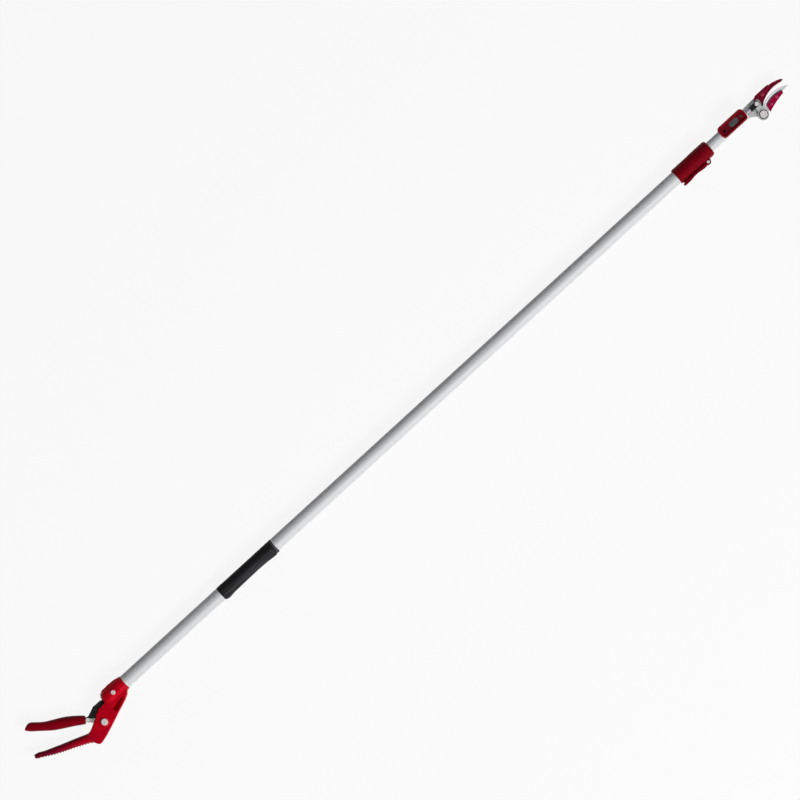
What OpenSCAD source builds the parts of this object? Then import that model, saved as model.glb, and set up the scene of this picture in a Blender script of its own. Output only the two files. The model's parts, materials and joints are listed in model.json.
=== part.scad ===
// Telescopic tree pruner pole: trigger handle, sliding tubes, lever lock, saw seat and bypass head.
// Millimetres, +Z up. The pole lies along X with its head toward +X and the trigger opens toward +Y.

/* [Pole] */
// Outside diameter of the outer tube
tube_d = 25; // [24:0.5:26.5]
// Wall of the outer tube
tube_wall = 1.5; // [1.2:0.1:1.8]
// Thickness of the sliding bush between the two tubes
bush_t = 1; // [0.8:0.1:1.2]
// Wall of the inner tube
inner_wall = 1.2; // [1:0.1:1.5]
// Closed length from the handle's mouth to the upper end of the inner tube
closed_reach = 1498; // [1420:2:1560]
// Travel of the inner tube
slide_travel = 1000; // [850:10:1050]
// Start of the hand grip, measured from the handle's mouth
grip_start = 232; // [160:2:320]
// Length of the hand grip
grip_len = 130; // [100:2:160]
// Thickness of the hand grip
grip_t = 1.7; // [1.5:0.1:2.8]

/* [Lock collar] */
// Length of the collar
collar_len = 79; // [74:1:90]
// Wall of the collar and of the handle's socket
shell_wall = 3; // [2.6:0.2:4]
// Width of the lock lever
lever_w = 17; // [17:0.5:20]

/* [Handle] */
// Depth of the trigger's pivot below the pole's axis
trigger_drop = 28.5; // [27:0.5:30]
// Swing of the trigger from open to squeezed, in degrees
trigger_swing = 12; // [10:1:16]
// Thickness of the trigger's steel lever
trigger_t = 6; // [5:0.5:7]
// Thickness of the handle's web across both cheeks
web_t = 22; // [20:1:24]
// Number of finger notches under the fixed grip
notches = 18; // [12:1:20]

/* [Cutting head] */
// Depth of the blade's pivot below the pole's axis
blade_drop = 22; // [21:0.5:23.5]
// Thickness of the moving blade
blade_t = 3; // [2.5:0.5:4]
// Thickness of the fixed hook's cutting plate
hook_t = 4; // [3.5:0.5:5]
// Radius of the blade's cutting edge
edge_r = 60; // [58:0.5:61]
// Width of the bevel that is ground on the blade
bevel_w = 4.5; // [3:0.5:5]

/* [Saw seat] */
// Length of the seat
seat_len = 57; // [56:1:60]
// Width of the seat
seat_w = 22; // [21:0.5:26]
// Distance between the two tapped holes for a saw
saw_pitch = 40; // [34:1:42]
// Diameter of the tapped holes
saw_hole_d = 5; // [4.2:0.2:5.6]

/* [Hidden] */
$fn = 64;
// Gap between a pin and the bore that turns on it
run = 0.05;
// Gap between pieces that slide past each other
slip = 0.3;
// Gap between pieces that are fixed together
fit = 0.03;
tube_r = tube_d / 2;
bore_r = tube_r - tube_wall;
inner_r = bore_r - bush_t;
inner_bore_r = inner_r - inner_wall;
shell_r = tube_r + shell_wall;
axis_h = shell_r + 0.5;
tube_in = 42;
socket_l = 50;
collar_x1 = closed_reach - seat_len - 30;
collar_x0 = collar_x1 - collar_len;
outer_end = collar_x0 + collar_len - 32;
inner_x0 = outer_end - slide_travel - 130;
// Linkage at the handle
px = -73;
py = -trigger_drop;
throw = 2 * trigger_drop * tan(trigger_swing / 2);
pin_x = px + throw / 2;
pin_r = 2.5;
bolt_r = 4;
hub_bush_r = 6;
fork_wall = 4;
fork_z = trigger_t / 2 + slip + fork_wall;
pull_r = 4;
pull_bore_r = 3;
rod_r = 2.5;
pull_x1 = outer_end - 80;
rod_x0 = pull_x1 - slide_travel - 90;
spring_x0 = 4;
spring_x1 = 60;
wire_r = 0.7;
coil_r = 6.3;
curls = 12;
// Linkage at the head, in a frame that starts at the inner tube's end
hp = [24.5, -blade_drop];
blade_swing = 2 * atan(throw / 2 / blade_drop);
// Angle by which the closed blade passes the hook's edge
bypass = 4;
head_pin = hp.x + throw / 2;
prong = 3.6;
head_z = blade_t / 2 + slip + prong;
hook_top = -blade_t / 2 - slip;
hook_low = hook_top - hook_t;
tongue_t = 4.2;
rivet = [46.4, 6.2];
edge_c = [68, -55];
back_c = [129.6, -172];
back_r = 177.5;
mouth_c = [70, -57.5];
mouth_r = 60;
horn_c = [60, -57.2];
horn_r = 68.5;
// Lock lever
cam_x = collar_x1 - 19;
pad_t = 3.1;
cam_r = 4;
cam_off = 0.5;
cam_y = -(inner_r + slip + pad_t + 0.2 + cam_off + cam_r);
ear_z0 = 4.8;
ear_z1 = 8.3;
// Saw seat
seat_x = closed_reach - seat_len / 2;
seat_y = 3.5;
seat_floor = inner_r + 3.2;
seat_rim = inner_r + 6;
screw_x = -26;
// Turn of the two screws under the head's plug, about the pole
head_screw_turns = [130, 230];
screw_r = 2;
// Reach of the handle behind its mouth, and of the head past the inner tube
handle_reach = 209;
hook_reach = 92;
head_reach = 93;
// Reach of the open trigger above the pole's axis, and of the handle's heel below it
trigger_rise = 62.4;
heel_drop = 52.8;
// Middle of the whole object, for the origin at the middle of its base
x_mid = (closed_reach + head_reach - handle_reach) / 2;
y_mid = (trigger_rise - heel_drop) / 2;

// Puts the pole's own frame into the object's frame
module place() {
  translate([-x_mid, -y_mid, axis_h]) children();
}

// Puts the head's own frame at the inner tube's end
module at_head() {
  place() translate([closed_reach, 0, 0]) children();
}

// Turns the blade from the hook's edge to its open place
module opened() {
  at_head() translate([hp.x, hp.y, 0]) rotate([0, 0, bypass - blade_swing])
    translate([-hp.x, -hp.y, 0]) children();
}

module rod_x(x0, r, l) {
  translate([x0, 0, 0]) rotate([0, 90, 0]) cylinder(r = r, h = l);
}

module ring_x(x0, r_out, r_in, l) {
  difference() {
    rod_x(x0, r_out, l);
    rod_x(x0 - 1, r_in, l + 2);
  }
}

// Straight bar between two points, with square ends
module bar(a, b, w) {
  d = b - a;
  translate([a.x, a.y]) rotate([0, 0, atan2(d.y, d.x)]) translate([0, -w / 2]) square([norm(d), w]);
}

module rounded(l, w, r) {
  square([l - 2 * r, w], center = true);
  square([l, w - 2 * r], center = true);
  for (sx = [-1, 1], sy = [-1, 1]) translate([sx * (l / 2 - r), sy * (w / 2 - r)]) circle(r = r);
}

// One oval slice of a grip, square to its own path
module slice(p, a, hw, hz) {
  translate([p.x, p.y, 0]) rotate([0, 0, a]) rotate([0, 90, 0]) linear_extrude(0.4, center = true)
    scale([hz, hw]) circle(r = 1, $fn = 28);
}

// Pan head screw along +Z, with its head standing on z = 0
module pan_screw(r, l, head_r, head_h) {
  difference() {
    union() {
      translate([0, 0, -l]) cylinder(r = r, h = l);
      rotate_extrude()
        polygon([[0, 0], [head_r, 0], [head_r, head_h * 0.5], [head_r * 0.7, head_h], [0, head_h]]);
    }
    for (a = [0, 90]) rotate([0, 0, a]) translate([-head_r * 0.55, -0.5, head_h * 0.45])
      cube([head_r * 1.1, 1, head_h]);
  }
}

module outer_tube() {
  color([0.85, 0.86, 0.88]) place() difference() {
    rod_x(-tube_in, tube_r, outer_end + tube_in);
    rod_x(-tube_in - 1, bore_r, outer_end + tube_in + 2);
    translate([screw_x, 0, 0]) cylinder(r = screw_r + fit, h = 30);
    translate([screw_x, 0, 0]) rotate([-90, 0, 0]) cylinder(r = screw_r + fit, h = 30);
    translate([collar_x0 + 16, 0, 0]) rotate([-90, 0, 0]) cylinder(r = screw_r + fit, h = 30);
  }
}

module hand_grip() {
  r0 = tube_r + fit;
  r1 = tube_r + grip_t;
  color([0.07, 0.07, 0.08]) place() translate([grip_start, 0, 0]) rotate([0, 90, 0])
    rotate_extrude() polygon([[r0, 0], [r1 - 1, 0], [r1 - 0.2, 1.2], [r1, 4], [r1, 10], [r1 - 0.7, 18],
      [r1 - 0.7, grip_len - 26], [r1 - 0.3, grip_len - 14], [r1 - 0.3, grip_len - 11.5],
      [r1 - 0.9, grip_len - 11], [r1 - 0.9, grip_len - 9.5], [r1, grip_len - 9], [r1, grip_len - 2],
      [r1 - 0.6, grip_len], [r0, grip_len]]);
}

// Outline of the handle's web, seen from above
web_mid = [-62, -30];
function web_points() = [[-4, -4], [-4, -12.8], [-11, -19.6], [-20, -24.3], [-44.6, -33.2], [-64.7, -41],
  [-87, -49], [-97, -51.6], [-102, -heel_drop], [-106, -52], [-109, -48.5], [-111.4, -43], [-112.4, -36],
  [-112, -27], [-107, -24.2], [-102, -23], [-97, -21], [-90, -17], [-79, -12], [-70, -8], [-62, -6.4],
  [-51, -6.2], [-44, -3]];

// Stations of the fixed grip: place, half width and half depth
fixed_grip = [[[-103, -36.6], 10.4, 10.6], [[-117, -30.6], 8.7, 9.6], [[-137, -22], 7.9, 8.6],
  [[-160, -12.9], 7.2, 7.6], [[-177, -5.5], 6.5, 7], [[-189, 0.2], 5.5, 6.6], [[-199.5, 5.9], 5.3, 6],
  [[-207.2, 9.2], 3.8, 4.4]];
grip_turn = 157;
// Lower edge of the fixed grip, where its finger notches lie
grip_edge = [for (s = fixed_grip) [s[0].x - s[1] * sin(grip_turn), s[0].y + s[1] * cos(grip_turn)]];

module fixed_grip_bar() {
  for (i = [0 : len(fixed_grip) - 2]) {
    a = fixed_grip[i];
    b = fixed_grip[i + 1];
    hull() {
      slice(a[0], grip_turn, a[1], a[2]);
      slice(b[0], grip_turn, b[1], b[2]);
    }
  }
}

module web() {
  linear_extrude(web_t - 4, center = true) polygon(web_points());
  for (s = [0, 1]) mirror([0, 0, s]) translate([web_mid.x, web_mid.y, web_t / 2 - 2])
    linear_extrude(2, scale = 0.93) translate([-web_mid.x, -web_mid.y]) polygon(web_points());
}

module handle_casting() {
  slot = trigger_t + 2 * slip + 0.2;
  color([0.72, 0.03, 0.09]) place() difference() {
    union() {
      translate([-socket_l, 0, 0]) rotate([0, 90, 0]) rotate_extrude() polygon([[0, 0], [8.5, 0], [13, 3.4],
        [shell_r - 0.2, 8], [shell_r + 0.5, 12], [shell_r + 0.1, 18], [shell_r - 0.3, 24], [shell_r, 30],
        [shell_r + 0.2, 35], [shell_r - 0.1, 39], [shell_r - 1, 44.5], [shell_r - 1.9, socket_l],
        [0, socket_l]]);
      translate([-41, -10, -axis_h]) cube([37, 20, axis_h]);
      translate([-40, 2, -7]) cube([34, shell_r - 1.3, 14]);
      web();
      fixed_grip_bar();
      translate([px, py, -web_t / 2 - 1]) cylinder(r = 8.6, h = web_t + 2);
    }
    rod_x(-tube_in, tube_r + fit, tube_in + 5);
    rod_x(-socket_l - 2, pull_r + slip, 20);
    translate([0, 0, -slot / 2]) linear_extrude(slot) polygon([[-116, 12], [-104, -27], [-96, -35],
      [px - 9, py - 11.5], [px + 8, py - 11.5], [px + 13, py - 4], [-55, -7], [-51.5, 12]]);
    translate([px, py, -40]) cylinder(r = bolt_r + fit, h = 80);
    for (s = [0, 1]) mirror([0, 0, s]) translate([0, 0, web_t / 2 - 8]) linear_extrude(20)
      polygon([[-20, -16.6], [-44, -16.4], [-47, -18.5], [-46, -28], [-42, -29], [-24, -21.6], [-19, -18.4]]);
    translate([screw_x, 0, 0]) cylinder(r = screw_r + fit, h = 40);
    translate([screw_x, 0, shell_r - 0.9]) cylinder(r = 4.8, h = 20);
    translate([screw_x, 0, 0]) rotate([-90, 0, 0]) cylinder(r = screw_r + fit, h = 40);
    translate([screw_x, shell_r - 0.9, 0]) rotate([-90, 0, 0]) cylinder(r = 4.8, h = 20);
    for (i = [0 : notches - 1]) {
      x = -119 - 81 * i / (notches - 1);
      translate([x, lookup(x, grip_edge), -20]) cylinder(r = 1.7, h = 40, $fn = 24);
    }
  }
}

module socket_screws() {
  color([0.75, 0.75, 0.74]) place() {
    translate([screw_x, 0, shell_r - 0.9]) pan_screw(screw_r, shell_r - 0.9 - bore_r + 0.3, 4.2, 2.6);
    translate([screw_x, shell_r - 0.9, 0]) rotate([-90, 0, 0])
      pan_screw(screw_r, shell_r - 0.9 - bore_r + 0.3, 4.2, 2.6);
  }
}

module pivot_bolt() {
  z1 = web_t / 2 + 1;
  color([0.75, 0.75, 0.74]) place() translate([px, py, 0]) difference() {
    union() {
      translate([0, 0, -axis_h + 0.8]) cylinder(r = bolt_r, h = z1 + axis_h - 0.8);
      translate([0, 0, z1]) rotate_extrude() polygon([[0, 0], [6.4, 0], [6.4, 1.4], [5.2, 3], [0, 3.6]]);
    }
    translate([0, 0, z1 + 1.2]) cylinder(r = 2.2, h = 5, $fn = 6);
  }
}

module pivot_nut() {
  z0 = -web_t / 2 - 1;
  color([0.75, 0.75, 0.74]) place() translate([px, py, 0]) difference() {
    union() {
      translate([0, 0, -axis_h]) cylinder(r = 7.2, h = axis_h + z0 - 1, $fn = 6);
      translate([0, 0, z0 - 1.2]) cylinder(r = 8, h = 1.2);
    }
    translate([0, 0, -axis_h - 1]) cylinder(r = bolt_r + fit, h = 40);
  }
}

module tube_plug() {
  color([0.12, 0.12, 0.12]) place() ring_x(-18, bore_r - fit, pull_r + slip, spring_x0 + 18);
}

module collar_body() {
  color([0.5, 0.03, 0.07]) place() difference() {
    union() {
      translate([collar_x0, 0, 0]) rotate([0, 90, 0]) rotate_extrude() polygon([[0, 0], [shell_r - 1.5, 0],
        [shell_r - 0.3, 1.4], [shell_r, 6], [shell_r - 0.3, 8], [shell_r - 0.3, collar_len - 40],
        [shell_r, collar_len - 36], [shell_r, collar_len - 4], [shell_r - 1.6, collar_len], [0, collar_len]]);
      translate([collar_x0 + 3, -11, -axis_h]) cube([collar_len - 7, 22, axis_h]);
      translate([cam_x - 55, -20.4, -lever_w / 2 - slip - 1.4]) cube([48, 10, 1.4]);
      for (s = [0, 1]) mirror([0, 0, s]) translate([0, 0, ear_z0]) linear_extrude(ear_z1 - ear_z0) {
        translate([cam_x, cam_y]) circle(r = 5);
        translate([cam_x - 6, cam_y]) square([12, -cam_y - tube_r + 2]);
      }
    }
    rod_x(collar_x0 - 1, tube_r + fit, collar_len - 3);
    rod_x(collar_x1 - 10, inner_r + 0.6, 20);
    translate([cam_x - 6.65, -shell_r - 3, -4.7]) cube([13.3, 14, 9.4]);
    translate([cam_x, cam_y, -20]) cylinder(r = 1.5 + fit, h = 40);
    translate([collar_x0 + 16, 0, 0]) rotate([-90, 0, 0]) cylinder(r = screw_r + fit, h = 40);
    translate([collar_x0 + 16, shell_r - 1.6, 0]) rotate([-90, 0, 0]) cylinder(r = 4.6, h = 20);
  }
}

module lock_pin() {
  color([0.75, 0.75, 0.74]) place() translate([cam_x, cam_y, -ear_z1 - 0.6]) {
    cylinder(r = 1.5, h = 2 * ear_z1 + 1.2);
    translate([0, 0, 2 * ear_z1 + 0.6]) cylinder(r = 2.6, h = 0.9);
    translate([0, 0, -0.3]) cylinder(r = 2.6, h = 0.9);
  }
}

module clamp_pad() {
  color([0.12, 0.12, 0.12]) place() difference() {
    translate([cam_x - 6.6, cam_y + cam_r + cam_off + 0.2, -4.65]) cube([13.2, pad_t + 1, 9.3]);
    rod_x(cam_x - 10, inner_r + slip, 20);
  }
}

module collar_bush() {
  color([0.12, 0.12, 0.12]) place() difference() {
    ring_x(outer_end + 0.1, tube_r, inner_r + slip, collar_x1 - 4.1 - outer_end);
    translate([cam_x - 6.65, -tube_r - 3, -4.7]) cube([13.3, 12, 9.4]);
  }
}

module collar_screw() {
  color([0.75, 0.75, 0.74]) place() translate([collar_x0 + 16, shell_r - 1.6, 0]) rotate([-90, 0, 0])
    pan_screw(screw_r, shell_r - 1.6 - bore_r, 4, 2.2);
}

// Line of the trigger's steel lever
lever_a = [-92, -6.2];
lever_b = [-166, 44.2];
lever_rivet = [-93.2, -5.4];

module lever_outline(grow) {
  translate([lever_a.x, lever_a.y]) circle(r = 5.5 + grow);
  bar(lever_a, lever_b, 8.4 + 2 * grow);
  translate([lever_b.x, lever_b.y]) circle(r = 4.5 + grow);
}

// Web of the lever between its pivot, the rod's pin and its arm
module lever_web() {
  polygon([[px + 6, py], [pin_x + 5.4, -1], [pin_x - 1, 5.3], lever_a + [1.6, 4.2], lever_a + [-3.6, -2],
    [px - 6.5, py - 3]]);
}

module trigger_lever() {
  lean = trigger_swing / 2;
  arm = trigger_drop / cos(lean);
  color([0.06, 0.06, 0.06]) place() difference() {
    translate([0, 0, -trigger_t / 2]) linear_extrude(trigger_t) {
      translate([px, py]) circle(r = 10.5);
      translate([pin_x, 0]) circle(r = 5.6);
      lever_web();
      lever_outline(0);
    }
    translate([px, py, -20]) cylinder(r = hub_bush_r + fit, h = 40);
    translate([px, py, -20]) rotate([0, 0, 90 - lean]) linear_extrude(40) {
      translate([trigger_drop - 0.4, 0]) circle(r = pin_r + 0.15);
      translate([arm + 0.3, 0]) circle(r = pin_r + 0.15);
      bar([trigger_drop - 0.4, 0], [arm + 0.3, 0], 2 * pin_r + 0.3);
    }
    translate([lever_rivet.x, lever_rivet.y, -20]) cylinder(r = 2 + fit, h = 40);
  }
}

// Stations of the trigger's grip: place, half width and half depth
trigger_stations = [[[-96.4, -3.2], 7.4, 7.2], [[-101, 0.5], 8.4, 7.8], [[-111, 8.1], 9.2, 8.2],
  [[-126, 18.2], 10.4, 8.6], [[-144, 28], 10, 8.4], [[-158.5, 37.8], 8, 7.8], [[-175, 51.8], 8.4, 7.2],
  [[-184.8, 57.8], 5.6, 5.4]];
trigger_turn = 144;

module trigger_grip() {
  color([0.7, 0.03, 0.1]) place() difference() {
    for (i = [0 : len(trigger_stations) - 2]) {
      a = trigger_stations[i];
      b = trigger_stations[i + 1];
      hull() {
        slice(a[0], trigger_turn, a[1], a[2]);
        slice(b[0], trigger_turn, b[1], b[2]);
      }
    }
    translate([0, 0, -trigger_t / 2 - fit]) linear_extrude(trigger_t + 2 * fit) {
      lever_web();
      lever_outline(fit);
    }
  }
}

module trigger_rivet() {
  color([0.75, 0.75, 0.74]) place() translate([lever_rivet.x, lever_rivet.y, 0]) {
    translate([0, 0, -trigger_t / 2 - 0.5]) cylinder(r = 2, h = trigger_t + 1);
    for (s = [0, 1]) mirror([0, 0, s]) translate([0, 0, trigger_t / 2 + fit]) cylinder(r = 3.2, h = 1.6);
  }
}

module trigger_bush() {
  color([0.75, 0.62, 0.3]) place() translate([px, py, -trigger_t / 2 - 0.2]) difference() {
    cylinder(r = hub_bush_r, h = trigger_t + 0.4);
    translate([0, 0, -1]) cylinder(r = bolt_r + run, h = 40);
  }
}

module rod_clevis() {
  color([0.06, 0.06, 0.06]) place() difference() {
    union() {
      translate([pin_x, -5.2, -fork_z]) cube([-53.5 - pin_x, 10.4, 2 * fork_z]);
      translate([pin_x, 0, -fork_z]) cylinder(r = 5.2, h = 2 * fork_z);
      rod_x(-54, pull_r, 24);
      rod_x(-31, pull_bore_r - fit, 24);
    }
    translate([pin_x - 8, -8, -trigger_t / 2 - slip]) cube([16, 16, trigger_t + 2 * slip]);
    translate([pin_x, 0, -40]) cylinder(r = pin_r + fit, h = 80);
    for (s = [-1, 1]) translate([-60, -8, s * (fork_z + 3) - 4.6]) cube([8, 16, 9.2]);
  }
}

module clevis_pin() {
  color([0.06, 0.06, 0.06]) place() translate([pin_x, 0, 0]) {
    translate([0, 0, -fork_z - 1.2]) cylinder(r = pin_r, h = 2 * fork_z + 1.4);
    translate([0, 0, fork_z]) cylinder(r = 4, h = 1.4);
    translate([0, 0, -fork_z - 1]) cylinder(r = 3.8, h = 0.9);
  }
}

module pull_tube() {
  color([0.7, 0.7, 0.7]) place() ring_x(-30, pull_r, pull_bore_r, pull_x1 + 30);
}

module spring_collar() {
  color([0.75, 0.62, 0.3]) place() ring_x(spring_x1, 8, pull_r + fit, 7);
}

module rod_clutch() {
  color([0.75, 0.62, 0.3]) place() difference() {
    union() {
      rod_x(pull_x1 - 14, 6.4, 30);
      rod_x(pull_x1 + 4, 7.6, 8);
    }
    rod_x(pull_x1 - 15, pull_r + fit, 15.1);
    rod_x(pull_x1 - 1, rod_r + slip, 30);
  }
}

// Return spring: one unbroken round wire, straight at both ends
spring_n = curls * 8;
spring_s0 = spring_x0 + 0.2 + 2 * wire_r;
spring_s1 = spring_x1 - 0.2 - 2 * wire_r;

function coil_at(i) = let (x = spring_s0 + (spring_s1 - spring_s0) * i / spring_n)
  [x, coil_r * cos(45 * i), coil_r * sin(45 * i)];

function spring_line() = concat([[spring_x0 + 0.2, coil_r, 0]], [for (i = [0 : spring_n]) coil_at(i)],
  [[spring_x1 - 0.2, coil_r * cos(45 * spring_n), coil_r * sin(45 * spring_n)]]);

function unit(v) = v / norm(v);

function ring_at(p, t, out) = let (b = unit(cross(t, out)), n = unit(cross(b, t)))
  [for (k = [0 : 5]) p + wire_r * (cos(60 * k) * n + sin(60 * k) * b)];

module return_spring() {
  line = spring_line();
  m = len(line);
  pts = [for (i = [0 : m - 1]) let (t = (i == 0 || i == m - 1) ? [1, 0, 0] : unit(line[i + 1] - line[i - 1]))
    each ring_at(line[i], t, [0, line[i].y, line[i].z])];
  walls = [for (i = [0 : m - 2], k = [0 : 5]) let (a = 6 * i + k, b = 6 * i + (k + 1) % 6)
    each [[a, a + 6, b], [b, a + 6, b + 6]]];
  caps = [for (k = [1 : 4]) each [[0, k, k + 1], [6 * m - 6, 6 * m - 6 + k + 1, 6 * m - 6 + k]]];
  gap = min([for (i = [0 : spring_n - 8]) norm(coil_at(i + 8) - coil_at(i)) - 2 * wire_r]);
  echo(least_spring_gap = gap);
  color([0.3, 0.3, 0.32]) place() polyhedron(points = pts, faces = concat(walls, caps));
}

module inner_tube() {
  color([0.88, 0.89, 0.9]) place() difference() {
    rod_x(inner_x0, inner_r, closed_reach - inner_x0);
    rod_x(inner_x0 - 1, inner_bore_r, closed_reach - inner_x0 + 2);
    for (s = [-1, 1]) translate([seat_x + s * saw_pitch / 2, seat_y, 0])
      cylinder(r = saw_hole_d / 2 + 0.6, h = 30);
    translate([seat_x, seat_y, 0]) cylinder(r = screw_r + fit, h = 30);
    for (a = head_screw_turns) translate([closed_reach - 15, 0, 0]) rotate([a, 0, 0])
      cylinder(r = screw_r + fit, h = 30);
  }
}

module slide_bush() {
  color([0.12, 0.12, 0.12]) place() ring_x(inner_x0 + 2, bore_r - slip, inner_r + fit, 40);
}

module saw_seat() {
  color([0.6, 0.02, 0.06]) place() difference() {
    union() {
      translate([seat_x, seat_y, 0]) linear_extrude(seat_rim) rounded(seat_len, seat_w, 6);
      translate([seat_x, seat_y, seat_floor - 4.5]) linear_extrude(2)
        rounded(seat_len + 1.6, seat_w + 1.6, 6.8);
    }
    rod_x(seat_x - seat_len, inner_r + fit, 2 * seat_len);
    translate([seat_x, seat_y, seat_floor]) linear_extrude(20) rounded(seat_len - 5, seat_w - 5, 4);
    for (s = [-1, 1]) translate([seat_x + s * saw_pitch / 2, seat_y, 0]) cylinder(r = saw_hole_d / 2, h = 40);
    translate([seat_x + 3, seat_y, seat_floor - 2]) linear_extrude(20) rounded(20, 10.4, 5);
    translate([seat_x, seat_y, 0]) cylinder(r = screw_r + fit, h = 40);
  }
}

module seat_screw() {
  color([0.35, 0.35, 0.36]) place() translate([seat_x, seat_y, seat_floor - 2]) {
    translate([3, 0, 0]) linear_extrude(0.8) rounded(19.6, 10, 4.8);
    translate([0, 0, 0.7]) pan_screw(screw_r, 5.7, 3.6, 1.2);
  }
}

module tongue_outline() {
  polygon([[0, -8.6], [0, 8.6], [8, 10.4], [40, 11.4], [51, 11], [53.5, 8.4], [53.5, 2.6], [45, -1.6],
    [37.4, -6.4], [hp.x + 9.4, hp.y + 3.4], [hp.x - 9.4, hp.y + 3.4], [8, -13]]);
  translate(hp) circle(r = 10);
}

module head_frame() {
  z0 = hook_low - tongue_t;
  color([0.6, 0.61, 0.63]) at_head() difference() {
    union() {
      rod_x(-24, inner_bore_r - fit, 25);
      rod_x(0, inner_r, 3);
      translate([0, 0, z0]) linear_extrude(tongue_t) tongue_outline();
      translate([0, -3, z0]) cube([3, 6, 6]);
    }
    rod_x(-40, rod_r + slip, 60);
    translate([hp.x, hp.y, -40]) cylinder(r = bolt_r + fit, h = 80);
    translate([rivet.x, rivet.y, -40]) cylinder(r = screw_r + fit, h = 80);
    for (a = head_screw_turns) translate([-15, 0, 0]) rotate([a, 0, 0]) cylinder(r = screw_r + fit, h = 30);
    translate([(saw_pitch - seat_len) / 2, seat_y, rod_r + 2]) cylinder(r = saw_hole_d / 2 + 0.6, h = 30);
  }
}

module head_screws() {
  color([0.75, 0.75, 0.74]) at_head() for (a = head_screw_turns) translate([-15, 0, 0]) rotate([a, 0, 0])
    translate([0, 0, inner_r]) pan_screw(screw_r, 6, 3.4, 2);
}

module mouth() {
  intersection() {
    translate(mouth_c) circle(r = mouth_r, $fn = 128);
    translate([37.4, -80]) square([90, 100]);
  }
}

module horn() {
  intersection() {
    translate(horn_c) circle(r = horn_r, $fn = 128);
    polygon([[36, -14], [84, -14], [84, 0.4], [hook_reach, 0.6], [hook_reach - 0.6, 2.4],
      [hook_reach - 3.6, 6], [hook_reach - 3.6, 20], [36, 20]]);
  }
  polygon([[36, -6.8], [36, 5.9], [28, 6.3], [27.4, 8], [35, 13], [62, 13], [65, 12.2], [66, 0], [46, -6]]);
}

module hook() {
  color([0.45, 0.03, 0.1]) at_head() difference() {
    union() {
      translate([0, 0, hook_low]) linear_extrude(hook_t) difference() {
        union() {
          horn();
          translate(hp) circle(r = 10);
          polygon([[hp.x - 9, hp.y + 4.4], [hp.x - 5, hp.y + 9], [36, -6.8], [44, -3], [37.4, -8],
            [hp.x + 9.6, hp.y - 2.6]]);
        }
        mouth();
      }
      translate([0, 0, hook_top - 0.5]) linear_extrude(blade_t + 2.4) difference() {
        horn();
        translate(hp) rotate([0, 0, bypass]) translate(edge_c - hp) circle(r = edge_r + 1.2, $fn = 128);
      }
    }
    intersection() {
      translate([mouth_c.x, mouth_c.y, hook_low]) rotate_extrude($fn = 128)
        polygon([[mouth_r - 2, 4.4], [mouth_r + 3.5, 0], [mouth_r + 3.5, -2], [mouth_r - 2, -2]]);
      translate([42, -20, hook_low - 1]) cube([60, 40, hook_t]);
    }
    translate([hp.x, hp.y, -40]) cylinder(r = bolt_r + fit, h = 80);
    translate([rivet.x, rivet.y, -40]) cylinder(r = screw_r + fit, h = 80);
  }
}

module rivet_dome() {
  rotate_extrude() polygon([[0, 0], [3.8, 0], [3.2, 1], [1.6, 1.8], [0, 2]]);
}

module head_rivet() {
  z1 = hook_top + blade_t + 1.9;
  z0 = hook_low - tongue_t;
  color([0.75, 0.75, 0.74]) at_head() translate([rivet.x, rivet.y, 0]) {
    translate([0, 0, z0 - 0.5]) cylinder(r = screw_r, h = z1 - z0 + 1);
    translate([0, 0, z1]) rivet_dome();
    mirror([0, 0, 1]) translate([0, 0, -z0]) rivet_dome();
  }
}

module head_bolt() {
  z1 = blade_t / 2 + 1;
  z0 = hook_low - tongue_t;
  color([0.75, 0.75, 0.74]) at_head() translate([hp.x, hp.y, 0]) difference() {
    union() {
      translate([0, 0, z0 - 5.2]) cylinder(r = bolt_r, h = z1 - z0 + 5.2);
      translate([0, 0, z1]) cylinder(r = 7.4, h = 3.6, $fn = 6);
    }
    translate([0, 0, z1 + 3.2]) cylinder(r = 3.4, h = 2);
  }
}

module head_washer() {
  color([0.75, 0.75, 0.74]) at_head() translate([hp.x, hp.y, blade_t / 2 + 0.15]) difference() {
    cylinder(r = 8.4, h = 0.85);
    translate([0, 0, -1]) cylinder(r = bolt_r + fit, h = 4);
  }
}

module head_nut() {
  z0 = hook_low - tongue_t;
  color([0.75, 0.75, 0.74]) at_head() translate([hp.x, hp.y, z0 - 4.6]) difference() {
    cylinder(r = 7.2, h = 4.6, $fn = 6);
    translate([0, 0, -1]) cylinder(r = bolt_r + fit, h = 8);
  }
}

module pull_rod() {
  color([0.7, 0.7, 0.7]) place() rod_x(rod_x0, rod_r, closed_reach + head_pin - 8 - rod_x0);
}

module rod_fork() {
  color([0.06, 0.06, 0.06]) at_head() difference() {
    union() {
      translate([head_pin - 15, -4.6, -head_z]) cube([15, 9.2, 2 * head_z]);
      translate([head_pin, 0, -head_z]) cylinder(r = 4.6, h = 2 * head_z);
    }
    translate([head_pin - 7.4, -8, -blade_t / 2 - slip]) cube([16, 16, blade_t + 2 * slip]);
    rod_x(head_pin - 20, rod_r + fit, 12.1);
    translate([head_pin, 0, -40]) cylinder(r = pin_r + fit, h = 80);
  }
}

module fork_pin() {
  color([0.75, 0.75, 0.74]) at_head() translate([head_pin, 0, 0]) {
    translate([0, 0, -head_z]) cylinder(r = pin_r, h = 2 * head_z + 0.4);
    translate([0, 0, head_z]) cylinder(r = 3.8, h = 1.3);
  }
}

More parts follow.
